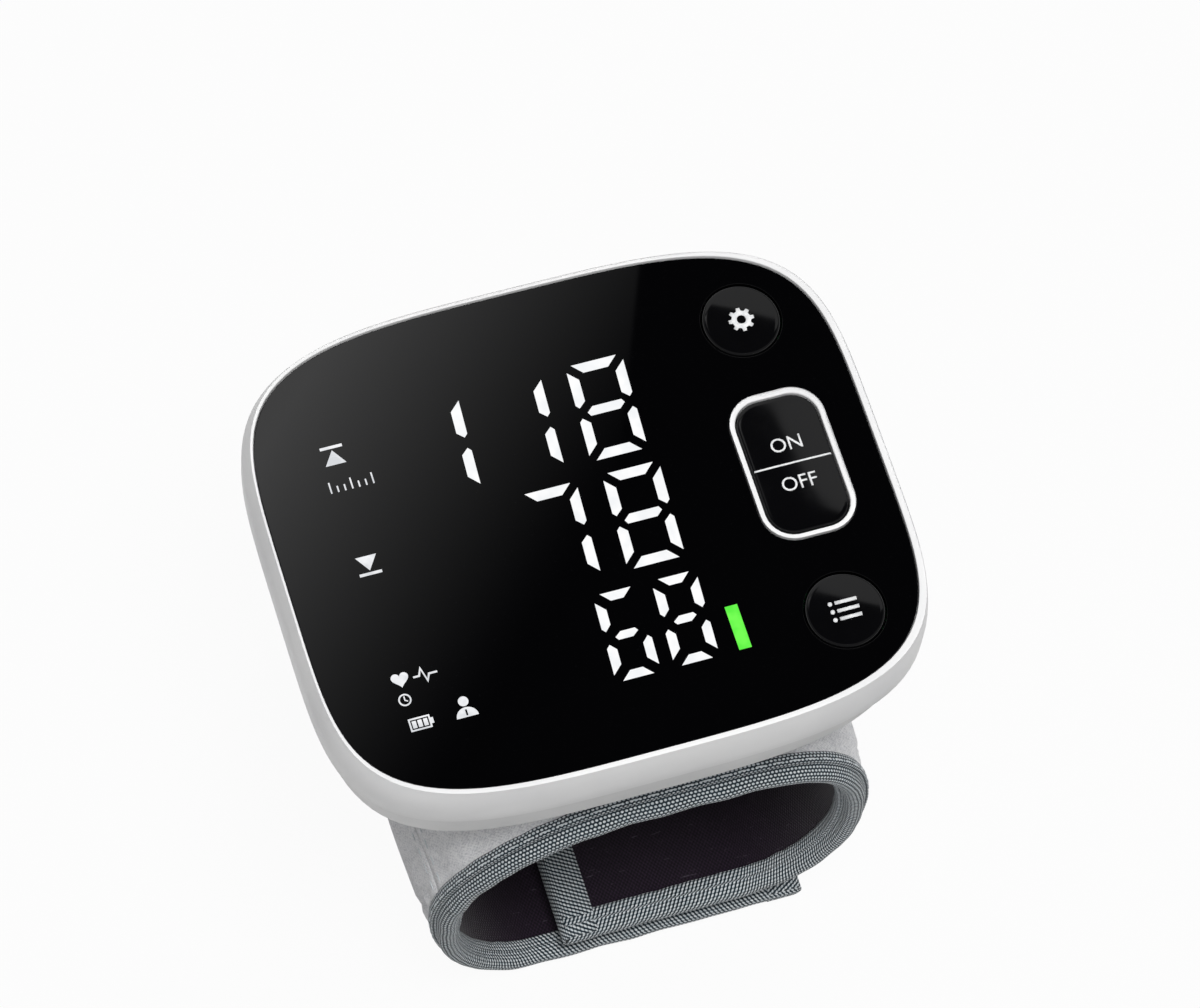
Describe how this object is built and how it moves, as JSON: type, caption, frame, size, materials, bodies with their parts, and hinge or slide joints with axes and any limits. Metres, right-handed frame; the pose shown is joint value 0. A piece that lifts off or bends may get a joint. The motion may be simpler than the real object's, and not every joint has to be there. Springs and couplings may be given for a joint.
{
  "type": "wrist blood pressure monitor",
  "caption": "Wrist blood pressure monitor: a rounded white body with a black readout panel and three press keys, on a closed fabric cuff with a tail that opens.",
  "frame": {"origin": "centre of the footprint of the bounding box, on the surface that the cuff stands on", "axes": "+X along the readout to the keys, +Y to the top of the face, +Z out of the face"},
  "size_m": [0.083, 0.0706, 0.073],
  "materials": {
    "white_plastic": "satin off-white moulding",
    "black_gloss": "polished black acrylic",
    "ring_white": "white moulding",
    "black_plastic": "matte black moulding",
    "board_green": "solder mask",
    "diffuser_white": "translucent film",
    "cell_can": "wrapped cell",
    "steel": "plated steel",
    "brass": "turned brass",
    "grey_rubber": "soft sheet",
    "silicone": "clear silicone hose",
    "cuff_fabric": "brushed loop fabric",
    "lining_fabric": "dark knitted lining",
    "binding_tape": "woven twill tape"
  },
  "bodies": {
    "monitor": {"front_bezel": "white_plastic", "front_panel": "black_gloss", "rear_case": "white_plastic", "case_screw_1": "steel", "case_screw_2": "steel", "case_screw_3": "steel", "case_screw_4": "steel", "start_stop_ring": "ring_white", "set_switch": "black_plastic", "start_switch": "black_plastic", "memory_switch": "black_plastic", "main_board": "board_green", "microcontroller": "black_plastic", "display_housing": "ring_white", "segment_diffuser": "diffuser_white", "buzzer": "black_plastic", "cell_1": "cell_can", "cell_2": "cell_can", "bridge_contact": "steel", "positive_contact": "steel", "negative_contact": "steel", "pump_motor": "steel", "pump_housing": "black_plastic", "pump_diaphragm": "grey_rubber", "pump_head": "white_plastic", "valve_coil": "steel", "valve_seat": "white_plastic", "pressure_sensor": "white_plastic", "air_tee": "white_plastic", "pump_hose": "silicone", "valve_hose": "silicone", "sensor_hose": "silicone", "cuff_hose": "silicone", "air_nozzle": "white_plastic", "cuff_screw_1": "steel", "cuff_screw_2": "steel", "cuff_screw_3": "steel", "cuff_screw_4": "steel", "cuff_outer_fabric": "cuff_fabric", "cuff_stiffener": "black_plastic", "air_bladder": "grey_rubber", "cuff_lining": "lining_fabric", "cuff_binding_near": "binding_tape", "cuff_binding_far": "binding_tape"},
    "set_button": {"set_key": "black_gloss", "set_plunger": "black_plastic"},
    "start_button": {"start_stop_key": "black_gloss", "start_plunger": "black_plastic"},
    "memory_button": {"memory_key": "black_gloss", "memory_plunger": "black_plastic"},
    "door": {"battery_door": "white_plastic"},
    "crank": {"motor_shaft": "brass"},
    "release_valve": {"valve_stem": "brass"},
    "tail": {"cuff_tail": "cuff_fabric", "tail_binding_near": "binding_tape", "tail_binding_far": "binding_tape", "hook_patch": "lining_fabric"}
  },
  "joints": [
    {"name": "set_press", "type": "slide", "parent": "monitor", "child": "set_button", "axis": [0, 0, -1], "range_m": [0, 0.0006], "stiffness_N_per_m": 400, "springref_m": -0.0005},
    {"name": "start_press", "type": "slide", "parent": "monitor", "child": "start_button", "axis": [0, 0, -1], "range_m": [0, 0.0006], "stiffness_N_per_m": 400, "springref_m": -0.0005},
    {"name": "memory_press", "type": "slide", "parent": "monitor", "child": "memory_button", "axis": [0, 0, -1], "range_m": [0, 0.0006], "stiffness_N_per_m": 400, "springref_m": -0.0005},
    {"name": "door_slide", "type": "slide", "parent": "monitor", "child": "door", "axis": [-1, 0, 0], "range_m": [0, 0.03]},
    {"name": "shaft_spin", "type": "hinge", "parent": "monitor", "child": "crank", "pos_m": [0.014, 0.015, 0.0586], "axis": [1, 0, 0], "continuous": true},
    {"name": "valve_draw", "type": "slide", "parent": "monitor", "child": "release_valve", "axis": [-1, 0, 0], "range_m": [0, 0.001], "stiffness_N_per_m": 200, "springref_m": -0.0005},
    {"name": "tail_open", "type": "hinge", "parent": "monitor", "child": "tail", "pos_m": [-0.0291, 0, 0.02585], "axis": [0, 1, 0], "range_deg": [0, 100]}
  ]
}
